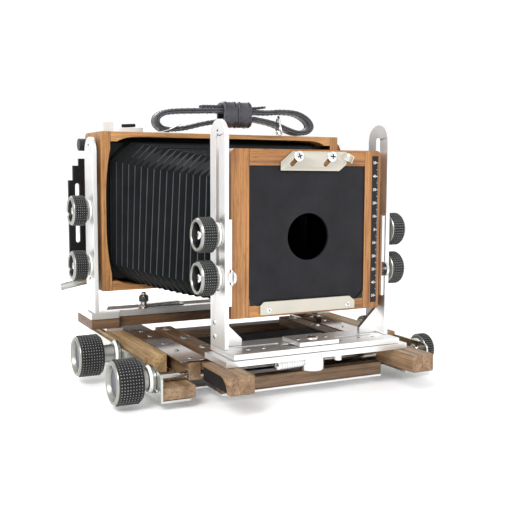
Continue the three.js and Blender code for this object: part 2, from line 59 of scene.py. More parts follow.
AZIMUTH = math.radians(-26.58)
ELEVATION = math.radians(5.73)
ROLL = math.radians(0.2)
TARGET = Vector((-0.0217, -0.0403, 0.1001))
DISTANCE = 0.62
FOCAL_LENGTH = 57.5
SENSOR_WIDTH = 36.0
LIGHTS = (
    # name, place, size, power
    ("key", (-0.9, -0.9, 1.0), 0.5, 15.0),
    ("fill", (1.1, -0.7, 0.7), 0.9, 2.5),
    ("rim", (0.1, 1.1, 0.9), 0.8, 7.0),
)
LIGHT_TARGET = (0.0, 0.0, 0.1)
SKY_STRENGTH = 1.03
FLOOR_HALF = 8.0
WHITE = (1.0, 1.0, 1.0, 1.0)


def aim(thing, place, target, roll=0.0):
    thing.location = place
    look = (Vector(target) - Vector(place)).to_track_quat("-Z", "Y")
    thing.rotation_mode = "QUATERNION"
    thing.rotation_quaternion = look @ Matrix.Rotation(roll, 4, "Z").to_quaternion()


def new_object(name, data):
    made = bpy.data.objects.new(name, data)
    bpy.context.scene.collection.objects.link(made)
    return made


def make_camera():
    level = math.cos(ELEVATION)
    back = Vector((math.sin(AZIMUTH) * level, -math.cos(AZIMUTH) * level, math.sin(ELEVATION)))
    data = bpy.data.cameras.new("view")
    data.lens = FOCAL_LENGTH
    data.sensor_width = SENSOR_WIDTH
    camera = new_object("view", data)
    aim(camera, TARGET + back * DISTANCE, TARGET, ROLL)
    bpy.context.scene.camera = camera


def make_lights():
    for name, place_at, size, power in LIGHTS:
        data = bpy.data.lights.new(name, "AREA")
        data.shape = "SQUARE"
        data.size = size
        data.energy = power
        aim(new_object(name, data), place_at, LIGHT_TARGET)


def make_world():
    scene = bpy.context.scene
    scene.view_settings.view_transform = "Standard"
    scene.world = bpy.data.worlds.new("studio")
    scene.world.use_nodes = True
    background = scene.world.node_tree.nodes["Background"]
    set_sockets(background, {"Color": WHITE, "Strength": SKY_STRENGTH})


def make_floor():
    mesh = bpy.data.meshes.new("floor")
    corners = [(x * FLOOR_HALF, y * FLOOR_HALF, 0)
               for x, y in ((-1, -1), (1, -1), (1, 1), (-1, 1))]
    mesh.from_pydata(corners, [], [(0, 1, 2, 3)])
    paint, _, shader = new_material("floor_white")
    set_sockets(shader, {"Base Color": (0.975, 0.975, 0.98, 1.0), "Roughness": 0.6,
                         "Specular IOR Level": 0.2, "Emission Color": WHITE,
                         "Emission Strength": 0.12})
    mesh.materials.append(paint)
    floor = new_object("floor", mesh)


# ---- materials ----

def new_material(name):
    made = bpy.data.materials.new(name)
    made.use_nodes = True
    return made, made.node_tree, made.node_tree.nodes["Principled BSDF"]


def set_sockets(node, values):
    """Sets the constants of a node's sockets, by their names."""
    for name, value in values.items():
        node.inputs[name].default_value = value


def coordinates(tree):
    return tree.nodes.new("ShaderNodeTexCoord").outputs["Object"]


def stretched(tree, vector, scale, offset=(0, 0, 0)):
    mapping = tree.nodes.new("ShaderNodeMapping")
    set_sockets(mapping, {"Scale": scale, "Location": offset})
    tree.links.new(vector, mapping.inputs["Vector"])
    return mapping.outputs["Vector"]


def noise(tree, vector, scale=1.0, detail=4.0, roughness=0.5, distortion=0.0):
    made = tree.nodes.new("ShaderNodeTexNoise")
    set_sockets(made, {"Scale": scale, "Detail": detail, "Roughness": roughness,
                       "Distortion": distortion})
    tree.links.new(vector, made.inputs["Vector"])
    return made.outputs["Fac"]


def ramp(tree, value, stops):
    made = tree.nodes.new("ShaderNodeValToRGB")
    line = made.color_ramp
    while len(line.elements) < len(stops):
        line.elements.new(0.5)
    for element, (place, colour) in zip(line.elements, stops):
        element.position = place
        element.color = (*colour, 1.0)
    tree.links.new(value, made.inputs["Fac"])
    return made.outputs["Color"]


def grey_ramp(tree, value, stops):
    return ramp(tree, value, [(place, (level,) * 3) for place, level in stops])


def multiply_colours(tree, first, second, amount=1.0):
    made = tree.nodes.new("ShaderNodeMix")
    made.data_type = "RGBA"
    made.blend_type = "MULTIPLY"
    made.inputs["Factor"].default_value = amount
    tree.links.new(first, made.inputs["A"])
    tree.links.new(second, made.inputs["B"])
    return made.outputs["Result"]


def maths(tree, operation, first, second=0.0, third=0.0):
    made = tree.nodes.new("ShaderNodeMath")
    made.operation = operation
    for socket, value in zip(made.inputs, (first, second, third)):
        if isinstance(value, (int, float)):
            socket.default_value = value
        else:
            tree.links.new(value, socket)
    return made.outputs["Value"]


def add_bump(tree, shader, height, strength, depth):
    """Raises the surface by height, with the depth of its relief in millimetres."""
    made = tree.nodes.new("ShaderNodeBump")
    set_sockets(made, {"Strength": strength, "Distance": depth * MM})
    tree.links.new(height, made.inputs["Height"])
    tree.links.new(made.outputs["Normal"], shader.inputs["Normal"])


ALONG = {
    "x": ((1, 0, 0), (0, 1, 1)),
    "y": ((0, 1, 0), (1, 0, 1)),
    "z": ((0, 0, 1), (1, 1, 0)),
}


def grain_scale(axis, along, across):
    """The noise scale along an axis and across it."""
    lengthwise, sideways = ALONG[axis]
    return [a * along + b * across for a, b in zip(lengthwise, sideways)]


# Noise scales along the grain and across it.
FIGURE = (11, 120)
STREAKS = (16, 620)
PORES = (130, 2600)
BRUSHING = (60, 5200)
JOINT_LINE = 0.18 * MM
JOINT_COLOUR = (0.18, 0.1, 0.05)


def framed_grain(tree, where, stile_start):
    """Grain along Z past stile_start from the middle and along X between, in coordinates
    whose first axis runs with the grain. Gives those coordinates and the joint's mask."""
    parts = tree.nodes.new("ShaderNodeSeparateXYZ")
    tree.links.new(where, parts.inputs["Vector"])
    turned = tree.nodes.new("ShaderNodeCombineXYZ")
    for source, target in zip("ZYX", "XYZ"):
        tree.links.new(parts.outputs[source], turned.inputs[target])
    side = maths(tree, "ABSOLUTE", parts.outputs["X"])
    chooser = tree.nodes.new("ShaderNodeMix")
    chooser.data_type = "VECTOR"
    tree.links.new(maths(tree, "GREATER_THAN", side, stile_start), chooser.inputs["Factor"])
    vector_sockets = [s for s in chooser.inputs if s.type == "VECTOR"]
    tree.links.new(where, vector_sockets[-2])
    tree.links.new(turned.outputs["Vector"], vector_sockets[-1])
    result = [s for s in chooser.outputs if s.type == "VECTOR"][0]
    return result, maths(tree, "COMPARE", side, stile_start, JOINT_LINE)


def wood(name, dark, middle, light, axis="x", seed=0.0, stile_start=None, roughness=0.42):
    """Open-pored walnut: broad figure, fine dark streaks and short pores along the grain."""
    made, tree, shader = new_material(name)
    where = coordinates(tree)
    joint = None
    if stile_start:
        where, joint = framed_grain(tree, where, stile_start)
    offset = (seed, seed * 0.7, seed * 1.3)
    broad = noise(tree, stretched(tree, where, grain_scale(axis, *FIGURE), offset),
                  detail=5.0, distortion=0.45)
    colour = ramp(tree, broad, [(0.30, dark), (0.50, middle), (0.72, light)])
    streaks = noise(tree, stretched(tree, where, grain_scale(axis, *STREAKS), offset),
                    detail=6.0, roughness=0.65)
    streak_tone = grey_ramp(tree, streaks, [(0.34, 0.44), (0.52, 0.92), (0.70, 1.0)])
    colour = multiply_colours(tree, colour, streak_tone)
    pores = noise(tree, stretched(tree, where, grain_scale(axis, *PORES), offset), detail=2.0)
    pore_tone = grey_ramp(tree, pores, [(0.33, 0.35), (0.43, 1.0)])
    colour = multiply_colours(tree, colour, pore_tone, 0.75)
    if joint:
        line = ramp(tree, joint, [(0.0, WHITE[:3]), (1.0, JOINT_COLOUR)])
        colour = multiply_colours(tree, colour, line)
    tree.links.new(colour, shader.inputs["Base Color"])
    tree.links.new(grey_ramp(tree, streaks, [(0.3, roughness + 0.16), (0.7, roughness)]),
                   shader.inputs["Roughness"])
    set_sockets(shader, {"Coat Weight": 0.12, "Coat Roughness": 0.25})
    add_bump(tree, shader, pores, 0.25, 0.2)
    return made


def metal(name, colour, roughness, brushed=None, strength=0.08, fineness=900):
    """Metal with slight cloudy wear, and fine lines along an axis where it is brushed."""
    made, tree, shader = new_material(name)
    where = coordinates(tree)
    clouds = noise(tree, where, scale=45.0, detail=5.0)
    low = tuple(c * 0.90 for c in colour)
    tree.links.new(ramp(tree, clouds, [(0.3, low), (0.7, colour)]), shader.inputs["Base Color"])
    shader.inputs["Metallic"].default_value = 1.0
    scale = grain_scale(brushed, *BRUSHING) if brushed else (fineness,) * 3
    lines = noise(tree, stretched(tree, where, scale), detail=3.0)
    tone = grey_ramp(tree, lines, [(0.25, roughness - 0.07), (0.75, roughness + 0.10)])
    tree.links.new(tone, shader.inputs["Roughness"])
    add_bump(tree, shader, lines, strength, 0.05)
    return made


def coated(name, colour, roughness, scale=1500.0, strength=0.15, variation=0.25, gloss=0.3,
           sheen=0.0):
    """Paint, anodising, nylon or cloth: mottled colour with a fine surface."""
    made, tree, shader = new_material(name)
    where = coordinates(tree)
    clouds = noise(tree, where, scale=60.0, detail=6.0, roughness=0.6)
    low = tuple(c * (1 - variation) for c in colour)
    high = tuple(c * (1 + variation) for c in colour)
    tree.links.new(ramp(tree, clouds, [(0.3, low), (0.7, high)]), shader.inputs["Base Color"])
    tone = grey_ramp(tree, clouds, [(0.3, roughness + 0.07), (0.7, roughness - 0.05)])
    tree.links.new(tone, shader.inputs["Roughness"])
    set_sockets(shader, {"Specular IOR Level": gloss, "Sheen Weight": sheen})
    add_bump(tree, shader, noise(tree, where, scale=scale, detail=3.0), strength, 0.1)
    return made


def leather_material():
    """Blue-black leather with a fine pebbled grain."""
    made, tree, shader = new_material("strap_leather")
    where = coordinates(tree)
    cells = tree.nodes.new("ShaderNodeTexVoronoi")
    cells.feature = "DISTANCE_TO_EDGE"
    cells.inputs["Scale"].default_value = 950.0
    tree.links.new(where, cells.inputs["Vector"])
    grain = grey_ramp(tree, cells.outputs["Distance"], [(0.0, 0.0), (0.25, 1.0)])
    clouds = noise(tree, where, scale=90.0, detail=6.0)
    colour = ramp(tree, clouds, [(0.3, (0.023, 0.024, 0.031)), (0.7, (0.062, 0.065, 0.079))])
    tree.links.new(colour, shader.inputs["Base Color"])
    set_sockets(shader, {"Roughness": 0.38, "Sheen Weight": 0.15})
    add_bump(tree, shader, grain, 0.35, 0.2)
    return made


def glass_material():
    """Ground glass: pale, frosted and slightly see-through."""
    made, tree, shader = new_material("ground_glass")
    where = coordinates(tree)
    tree.links.new(ramp(tree, noise(tree, where, scale=30.0),
                        [(0.3, (0.62, 0.67, 0.67)), (0.7, (0.74, 0.78, 0.78))]),
                   shader.inputs["Base Color"])
    set_sockets(shader, {"Roughness": 0.45, "Transmission Weight": 0.25})
    add_bump(tree, shader, noise(tree, where, scale=4200.0), 0.3, 0.05)
    return made


# Dark, middle and light tones of each walnut.
FRAME_TONES = ((0.245, 0.096, 0.025), (0.375, 0.160, 0.045), (0.490, 0.232, 0.072))
BOX_TONES = ((0.29, 0.122, 0.034), (0.44, 0.204, 0.062), (0.58, 0.300, 0.104))
BED_TONES = ((0.142, 0.079, 0.037), (0.260, 0.152, 0.078), (0.39, 0.252, 0.142))
RAIL_TONES = ((0.255, 0.152, 0.062), (0.470, 0.295, 0.132), (0.680, 0.465, 0.230))
DARK_TONES = ((0.104, 0.051, 0.023), (0.168, 0.088, 0.041), (0.250, 0.146, 0.076))

frame_wood = wood("walnut_lens_frame", *FRAME_TONES, stile_start=47.9 * MM, seed=3.1)
box_wood = wood("walnut_rear_box", *BOX_TONES, stile_start=104.4 * MM, seed=7.7)
dark_x = wood("dark_walnut_across", *DARK_TONES, axis="x", seed=2.2, roughness=0.5)
dark_y = wood("dark_walnut_lengthwise", *DARK_TONES, axis="y", seed=4.4, roughness=0.5)
wood_x = wood("walnut_across", *BED_TONES, axis="x", seed=1.3, roughness=0.5)
wood_y = wood("walnut_lengthwise", *BED_TONES, axis="y", seed=5.9, roughness=0.5)
rail_y = wood("pale_walnut_lengthwise", *RAIL_TONES, axis="y", seed=6.7, roughness=0.5)
aluminium = metal("satin_aluminium", (0.91, 0.91, 0.90), 0.36, brushed="x")
aluminium_upright = metal("satin_aluminium_upright", (0.91, 0.905, 0.90), 0.38, brushed="z")
nickel = metal("polished_nickel", (0.58, 0.565, 0.53), 0.18)
wing_metal = metal("polished_wing", (0.48, 0.42, 0.385), 0.13, strength=0.0, fineness=8)
bracket_metal = metal("polished_bracket", (0.62, 0.63, 0.59), 0.20, strength=0.01, fineness=50)
cream_nickel = metal("brushed_nickel_plate", (0.59, 0.56, 0.485), 0.36, brushed="x")
steel = metal("bright_steel", (0.88, 0.88, 0.88), 0.14)
rim_metal = metal("knob_rim_metal", (0.36, 0.365, 0.335), 0.36)
black_anodised = coated("black_anodised", (0.008, 0.008, 0.009), 0.45, gloss=0.2)
board_black = coated("lens_board_charcoal", (0.0105, 0.0105, 0.0135), 0.52, scale=2500.0,
                     gloss=0.22)
knurl_black = coated("knurled_black", (0.021, 0.022, 0.023), 0.45, scale=3000.0)
knurl_tip = coated("knurled_tip", (0.30, 0.305, 0.29), 0.4, scale=3000.0)
bed_black = coated("bed_panel_black", (0.007, 0.007, 0.008), 0.6, gloss=0.08)
cup_black = coated("knob_cup_black", (0.006, 0.006, 0.007), 0.28)
cup_grey = coated("knob_face_grey", (0.090, 0.090, 0.106), 0.34, variation=0.1)
white_nylon = coated("white_nylon", (0.86, 0.86, 0.84), 0.45, variation=0.03)
bellows_cloth = coated("bellows_cloth", (0.0045, 0.0056, 0.0062), 0.6, strength=0.4,
                       gloss=0.10, sheen=0.05)
# Lighter colour for the bellows' fold crests: partly worn ridges, partly a painted highlight
# along each crest.
bellows_crest_wear_and_highlight = coated("bellows_crest_wear_and_highlight", (0.047, 0.052, 0.059), 0.5, strength=0.3, gloss=0.2)
scale_black = coated("scale_black", (0.008, 0.008, 0.009), 0.35)
scale_white = coated("scale_white", (0.85, 0.85, 0.85), 0.5, variation=0.02)
thread = coated("strap_thread", (0.05, 0.052, 0.062), 0.7)
leather = leather_material()
frosted = glass_material()

CAD_FINISH = {
    frame_wood: ["lens_frame"],
    box_wood: ["rear_box"],
    wood_x: ["front_cross_board", "rear_cross_board", "guide_cross_bar"],
    wood_y: ["base_rail", "guide_rail", "bed_block"],
    rail_y: ["outer_rail"],
    dark_x: ["rear_board"],
    dark_y: ["inner_rail"],
    aluminium: ["bottom_plate", "standard_base_plate", "swing_clamp_plate", "shift_plate",
                "swing_detent_pin", "rear_swing_plate"],
    aluminium_upright: ["front_upright", "rise_slider", "rear_upright"],
    nickel: ["front_focus_shaft"],
    wing_metal: ["wing_plate"],
    bracket_metal: ["side_bracket"],
    cream_nickel: ["board_foot_plate"],
    black_anodised: ["tripod_plate", "bellows_rear_frame", "back_frame", "glass_holder"],
    bed_black: ["bed_panel"],
    knurl_black: ["back_release_knob"],
    frosted: ["ground_glass"],
}
EDGE_WIDTH = {"lens_frame": 0.7, "rear_box": 0.8, "wing_plate": 0.25, "bed_block": 0.9,
              "outer_rail": 0.7, "guide_rail": 0.4, "rear_board": 0.6}
COMMON_EDGE = 0.3
WELD_DISTANCE = 0.001 * MM
EDGE_ANGLE = math.radians(40)


def finish_cad_nodes():
    """Materials and small rounded edges for the CAD nodes that stay."""
    for finish, stems in CAD_FINISH.items():
        for name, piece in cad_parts.items():
            stem = name.removesuffix("_left").removesuffix("_right")
            if stem not in stems:
                continue
            piece.data.materials.clear()
            piece.data.materials.append(finish)
            weld = piece.modifiers.new("weld", "WELD")
            weld.merge_threshold = WELD_DISTANCE
            edge = piece.modifiers.new("edge", "BEVEL")
            edge.width = EDGE_WIDTH.get(stem, COMMON_EDGE) * MM
            edge.segments = 2
            edge.limit_method = "ANGLE"
            edge.angle_limit = EDGE_ANGLE
            edge.harden_normals = False


# ---- mesh helpers ----

def place(bm, name, finishes, body, slot, *replaced, sharp=35.0):
    """Turns a bmesh into a piece on a CAD body."""
    bmesh.ops.recalc_face_normals(bm, faces=bm.faces)
    mesh = bpy.data.meshes.new(name)
    bm.to_mesh(mesh)
    bm.free()
    for finish in finishes:
        mesh.materials.append(finish)
    for face in mesh.polygons:
        face.use_smooth = True
    mesh.set_sharp_from_angle(angle=math.radians(sharp))
    piece = new_object(name, mesh)
    if replaced:
        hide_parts(*replaced)
    if body:
        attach(piece, body)
    return piece


MILLIMETRES = Matrix.Scale(MM, 4)


def axes_at(origin, axis, around=0.0):
    """A frame in millimetres whose +Z points along axis, turned around it."""
    turn = Vector(axis).to_track_quat("Z", "X").to_matrix().to_4x4()
    return Matrix.Translation(origin) @ turn @ Matrix.Rotation(around, 4, "Z") @ MILLIMETRES


def box_mm(node):
    """The low and high corners of a CAD node's box, in millimetres."""
    low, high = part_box(node)
    return low / MM, high / MM


def lathe(bm, where, profile, segments, index=0):
    """Turns [(radius, height, material index of the next stretch)] about where's +Z."""
    turns = [2 * math.pi * k / segments for k in range(segments)]
    rings = []
    for radius, height, *_ in profile:
        spots = [Vector((radius * math.cos(a), radius * math.sin(a), height)) for a in turns]
        if radius <= 0:
            spots = [Vector((0, 0, height))]
        rings.append([bm.verts.new(where @ spot) for spot in spots])
    for point, first, second in zip(profile, rings, rings[1:]):
        material = point[2] if len(point) > 2 else index
        for k in range(segments):
            n = (k + 1) % segments
            if len(first) == 1:
                corners = [first[0], second[k], second[n]]
            elif len(second) == 1:
                corners = [first[k], second[0], first[n]]
            else:
                corners = [first[k], second[k], second[n], first[n]]
            bm.faces.new(corners).material_index = material


def block(bm, low, high, index=0, where=None):
    """A box, with its corners given in where's units, or in metres."""
    spots = [Vector((x, y, z)) for x in (low[0], high[0]) for y in (low[1], high[1])
             for z in (low[2], high[2])]
    corners = [bm.verts.new(where @ spot if where else spot) for spot in spots]
    for side in ((0, 1, 3, 2), (4, 6, 7, 5), (0, 4, 5, 1), (2, 3, 7, 6), (0, 2, 6, 4),
                 (1, 5, 7, 3)):
        bm.faces.new([corners[k] for k in side]).material_index = index


def block_mm(bm, low, high, index=0):
    """A box, with its corners given in millimetres."""
    block(bm, low, high, index, MILLIMETRES)


def screw(bm, place_at, axis, radius, around):
    """A low domed screw head, material 0, with a crossed recess, material 1."""
    where = axes_at(place_at, axis, around)
    high = radius * 0.34
    sunk = 0.2
    lathe(bm, where, [(0, -sunk), (radius, -sunk), (radius, high * 0.35),
                      (radius * 0.82, high * 0.8), (radius * 0.5, high), (0, high)], 20)
    width, reach = radius * 0.11, radius * 0.56
    low, top = high * 0.7, high + 0.02
    block(bm, (-reach, -width, low), (reach, width, top), 1, where)
    block(bm, (-width, -reach, low), (width, reach, top + 0.01), 1, where)


def rounded_section(width, height, corner, steps=3):
    """Points of a rounded rectangle about the origin."""
    points = []
    for cx, cy, start in ((1, 1, 0), (-1, 1, 90), (-1, -1, 180), (1, -1, 270)):
        for k in range(steps + 1):
            angle = math.radians(start + 90 * k / steps)
            points.append((cx * (width / 2 - corner) + corner * math.cos(angle),
                           cy * (height / 2 - corner) + corner * math.sin(angle)))
    return points


def join_rings(bm, first, second):
    """A band of faces between two rings with the same number of corners."""
    count = len(first)
    for k in range(count):
        n = (k + 1) % count
        bm.faces.new([first[k], first[n], second[n], second[k]])


def merge_corners(bm):
    bmesh.ops.remove_doubles(bm, verts=bm.verts, dist=0.002 * MM)


def smooth_path(points, steps=8):
    """A Catmull-Rom curve through the points."""
    ends = [points[0] * 2 - points[1]] + list(points) + [points[-1] * 2 - points[-2]]
    path = []
    for a, b, c, d in zip(ends, ends[1:], ends[2:], ends[3:]):
        for k in range(steps):
            t = k / steps
            path.append(0.5 * (2 * b + (c - a) * t + (2 * a - 5 * b + 4 * c - d) * t * t
                               + (3 * b - a - 3 * c + d) * t ** 3))
    path.append(points[-1].copy())
    return path


def sweep(bm, path, section, across=Vector((0, 1, 0))):
    """Carries a section along a path. The section's first axis stays along across."""
    rings = []
    last = len(path) - 1
    for k, spot in enumerate(path):
        ahead = (path[min(k + 1, last)] - path[max(k - 1, 0)]).normalized()
        side = (across - ahead * across.dot(ahead)).normalized()
        up = ahead.cross(side)
        rings.append([bm.verts.new(spot + side * u + up * v) for u, v in section])
    for first, second in zip(rings, rings[1:]):
        join_rings(bm, first, second)
    bm.faces.new(rings[0])
    bm.faces.new(list(reversed(rings[-1])))


# ---- knobs ----

BLACK, RIM, CUP, STEEL, NYLON, DARK, FACE, TIP = range(8)
KNOB_FINISHES = [knurl_black, rim_metal, cup_black, steel, white_nylon, black_anodised,
                 cup_grey, knurl_tip]
TIP_INSET = 0.36  # of a pyramid's width


def knurl(bm, where, radius, start, end, around, rows, depth, index=BLACK, tip=TIP):
    """A band of blunt pyramids round an axis, bright where their tips are worn."""
    def spot(turn, step, r):
        angle = 2 * math.pi * turn / around
        height = start + (end - start) * step / rows
        return bm.verts.new(where @ Vector((r * math.cos(angle), r * math.sin(angle), height)))
    root = [[spot(k, j, radius - depth) for k in range(around)] for j in range(rows + 1)]
    near, far = TIP_INSET, 1 - TIP_INSET
    for j in range(rows):
        for k in range(around):
            n = (k + 1) % around
            base = [root[j][k], root[j][n], root[j + 1][n], root[j + 1][k]]
            pad = [spot(k + u, j + v, radius)
                   for u, v in ((near, near), (far, near), (far, far), (near, far))]
            bm.faces.new(pad).material_index = tip
            for a in range(4):
                b = (a + 1) % 4
                bm.faces.new([base[a], base[b], pad[b], pad[a]]).material_index = index


def knob_frame(name):
    """A side knob's frame, pointing outwards, with its start, end and radius."""
    low, high = box_mm(name)
    side = 1 if high.x > abs(low.x) else -1
    start, end = sorted((abs(low.x), abs(high.x)))
    centre = Vector((0, low.y + high.y, low.z + high.z)) / 2 * MM
    return axes_at(centre, (side, 0, 0)), start, end, (high.z - low.z) / 2


def focus_knob(name, body):
    """A large focus knob: stepped neck with a nylon ring, knurled body, dished pale face."""
    where, start, end, radius = knob_frame(name)
    around, rows, depth = 46, 8, 0.8
    root = radius - depth
    shaft = 2.9
    collar = (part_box("side_bracket_right")[1].x + GAP) / MM
    inner = end - 19.5
    low_band, high_band = inner + 1.4, end - 1.9
    bm = bmesh.new()
    lathe(bm, where, [
        (0, start), (shaft, start), (shaft, collar), (9.9, collar),
        (10, collar + 2.3, NYLON), (8.8, collar + 2.4, NYLON), (8.8, collar + 4.2),
        (7.2, collar + 4.6), (6.6, inner - 1.2), (9.5, inner - 0.6),
        (10.5, inner, BLACK), (root - 1.0, inner, BLACK), (root, low_band)], around, RIM)
    knurl(bm, where, radius, low_band, high_band, around, rows, depth)
    lathe(bm, where, [
        (root, high_band, BLACK), (root, end - 1.3), (root - 0.5, end - 0.4),
        (root - 1.2, end), (root - 2.3, end), (root - 2.9, end - 0.6),
        (root - 3.5, end - 3.2), (root - 4.0, end - 3.5, FACE), (0, end - 3.1)], around, RIM)
    merge_corners(bm)
    place(bm, name + "_turned", KNOB_FINISHES, body, "black_knurl", name)


def lock_knob(name, body, length=12.4, neck=3.6):
    """A lock knob: nylon washer, knurled body, and a deep cup round a bright screw."""
    where, start, end, radius = knob_frame(name)
    around, rows, depth = 40, 6, 0.7
    root = radius - depth
    bolt = 2.2
    inner = end - length
    washer = inner - neck
    low_band, high_band = inner + 1.0, end - 1.5
    bm = bmesh.new()
    lathe(bm, where, [
        (0, start), (bolt, start), (bolt, washer, NYLON), (8.6, washer, NYLON),
        (8.6, washer + 1.5, NYLON), (7.8, washer + 1.7, RIM), (7.8, inner, RIM),
        (root - 1.5, inner, RIM), (root - 0.4, inner + 0.4, RIM), (root, low_band)],
        around, STEEL)
    knurl(bm, where, radius, low_band, high_band, around, rows, depth)
    lathe(bm, where, [
        (root, high_band), (root - 0.3, end - 0.6), (root - 1.0, end), (root - 2.4, end),
        (root - 2.9, end - 0.7, CUP), (root - 3.6, end - 6.0, CUP),
        (3.6, end - 6.4, STEEL), (3.6, end - 3.2, STEEL), (2.9, end - 1.9, STEEL),
        (1.6, end - 1.4, STEEL), (1.5, end - 3.0, DARK), (0, end - 3.0)], around, RIM)
    merge_corners(bm)
    place(bm, name + "_turned", KNOB_FINISHES, body, "black_knurl", name)


def make_knobs():
    focus_knob("front_focus_knob_left", "front_focus")
    focus_knob("rear_focus_knob_left", "rear_focus_left")
    for name, body in (("front_focus_knob_right", "front_focus"),
                       ("rear_focus_knob_right", "rear_focus_right")):
        lock_knob(name, body, length=10.2, neck=1.9)
    for side, _ in SIDES:
        lock_knob("front_tilt_knob_" + side, "front_tilt_lock_" + side)
        lock_knob("rise_lock_knob_" + side, "rise_lock_" + side)
        lock_knob("rear_tilt_knob_" + side, "rear_tilt_lock_" + side)
        lock_knob("rear_lock_knob_" + side, "rear_box_lock_" + side)


# ---- bellows ----

# The bodies from the lens to the film, each with the folds that reach to the next one.
BELLOWS_CHAIN = [("lens_standard", 1), ("front_rise", 3), ("front_shift", 1),
                 ("front_swing", 1), ("front_bed", 7), ("base", 4), ("rear_carriage", 1),
                 ("rear_swing", 1), ("film_standard", 0)]
FOLDS = sum(folds for _, folds in BELLOWS_CHAIN)
BELLOWS_FRONT, BELLOWS_BACK = (corner.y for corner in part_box("bellows"))
# The sleeve at the lens and at the film, in millimetres.
HALF_WIDTH = (50, 101)
BOTTOM = (69, 74)
TOP = (168, 186)
CORNER_CUT = (8, 11)
FOLD_DEPTH = 2.6 * MM
SAG = 1.6 * MM
LEAN = 2.6 * MM
SLEEVE_WALL = 1.0 * MM
CREST = 0.07  # half a crest's width, in folds
LONG_SIDE_STEPS = 5
# Of a ring's stretches: the right side with its upper corner, and the left side.
SIDE_STRETCHES = (*range(0, 6), *range(12, 17))


def bellows_y(fold):
    """How far back a fold starts at rest."""
    return BELLOWS_FRONT + (BELLOWS_BACK - BELLOWS_FRONT) * fold / FOLDS


def bellows_ring(fold, wave, grow=0.0):
    """Corners and points between them of the sleeve at a fold counted from the lens.
    Where the sides stand out the top and bottom are folded in, and the other way round."""
    t = fold / FOLDS
    y = bellows_y(fold)
    half, low, high, cut = ((a + (b - a) * t) * MM
                            for a, b in (HALF_WIDTH, BOTTOM, TOP, CORNER_CUT))
    half += wave * FOLD_DEPTH + grow
    low += wave * FOLD_DEPTH - grow
    high -= wave * FOLD_DEPTH - grow
    belly = math.sin(math.pi * t)
    middle, reach = (low + high) / 2, (high - low) / 2
    corners = [(half, low + cut), (half, high - cut), (half - cut, high), (cut - half, high),
               (-half, high - cut), (-half, low + cut), (cut - half, low), (half - cut, low)]
    points = []
    for k, (x, z) in enumerate(corners):
        nx, nz = corners[(k + 1) % len(corners)]
        count = LONG_SIDE_STEPS if k % 2 == 0 else 1
        for j in range(count):
            px, pz = x + (nx - x) * j / count, z + (nz - z) * j / count
            if abs(px) > half - cut * 1.2:
                px += math.copysign(LEAN, px) * belly * (middle - pz) / reach
            points.append(Vector((px, y, pz - SAG * belly)))
    return points


def fold_stations(first_fold, folds):
    """The rings of a stretch as (place in folds, 1 where the sides stand out and -1 where
    they are folded in)."""
    stations = []
    for k in range(first_fold, first_fold + folds):
        stations += [(k + CREST / 2, -1), (k + 0.5 - CREST, 1), (k + 0.5 + CREST, 1),
                     (k + 1 - CREST / 2, -1)]
    stations[0] = (first_fold, -1)
    stations[-1] = (first_fold + folds, -1)
    return stations


def bellows_stretch(name, first_fold, folds):
    """Some folds as one closed sleeve: skin, lining and the two rims between them."""
    stations = fold_stations(first_fold, folds)
    bm = bmesh.new()
    skin, lining = ([[bm.verts.new(p) for p in bellows_ring(fold, wave, grow)]
                     for fold, wave in stations] for grow in (0.0, -SLEEVE_WALL))
    rings = skin + lining[::-1]
    count = len(skin[0])
    for j, first in enumerate(rings):
        second = rings[(j + 1) % len(rings)]
        for k in range(count):
            n = (k + 1) % count
            face = bm.faces.new([first[k], second[k], second[n], first[n]])
            if j < len(skin) - 1:
                # Faces on the outer crests of the folds take the lighter material: worn ridges
                # with a painted highlight.
                crest = 1 if k in SIDE_STRETCHES else -1
                face.material_index = int(stations[j][1] == stations[j + 1][1] == crest)
    return place(bm, name, [bellows_cloth, bellows_crest_wear_and_highlight], None, "bellows", "bellows", sharp=25.0)


def make_bellows():
    fold = 0
    for (body, count), (following, _) in zip(BELLOWS_CHAIN, BELLOWS_CHAIN[1:]):
        piece = bellows_stretch("bellows_" + body, fold, count)
        fold += count
        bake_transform(piece)


# ---- strap ----

ACROSS_STRAP = Vector((0, 1, 0))
THREAD = 1  # the stitching's material index, after the leather's 0


def strap_depth():
    """The y of the strap's middle plane."""
    low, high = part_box("strap_handle")
    return (low.y + high.y) / 2


def strap_points(points):
    """Path points from (x, y offset, z) in millimetres, about the strap's middle plane."""
    depth = strap_depth()
    return [Vector((x * MM, depth + y * MM, z * MM)) for x, y, z in points]


def stitches(bm, path, offset, lift):
    """Short threads along a path, at offset across it and lifted off its middle."""
    size = Vector((0.85, 0.22, 0.18)) * MM
    for k in range(1, len(path) - 1, 2):
        ahead = (path[k + 1] - path[k - 1]).normalized()
        up = ahead.cross(ACROSS_STRAP).normalized()
        centre = path[k] + ACROSS_STRAP * offset + up * lift
        turn = Matrix((ahead, ACROSS_STRAP, up)).transposed().to_4x4()
        block(bm, -size, size, THREAD, Matrix.Translation(centre) @ turn)


def strap_band(name, points, width=12.0, thick=2.1):
    """Two thicknesses of leather sewn along both edges."""
    path = smooth_path(strap_points(points), 7)
    bm = bmesh.new()
    layer = rounded_section(width * MM, thick * MM, 0.7 * MM)
    seam = 0.05
    for way in (-1, 1):
        moved = [(u, v + way * (thick / 2 + seam) * MM) for u, v in layer]
        sweep(bm, path, moved)
    margin, lift = 1.7, 0.1
    for edge in (-1, 1):
        for face in (-1, 1):
            stitches(bm, path, edge * (width / 2 - margin) * MM, face * (thick + lift) * MM)
    return place(bm, name, [leather, thread], "film_standard", "leather")


KEEPER_WIDTH = 17.0
KEEPER_WALL = 1.7
KEEPER_CROWN = 0.5
STITCH = Vector((0.25, 0.45, 0.45)) * MM


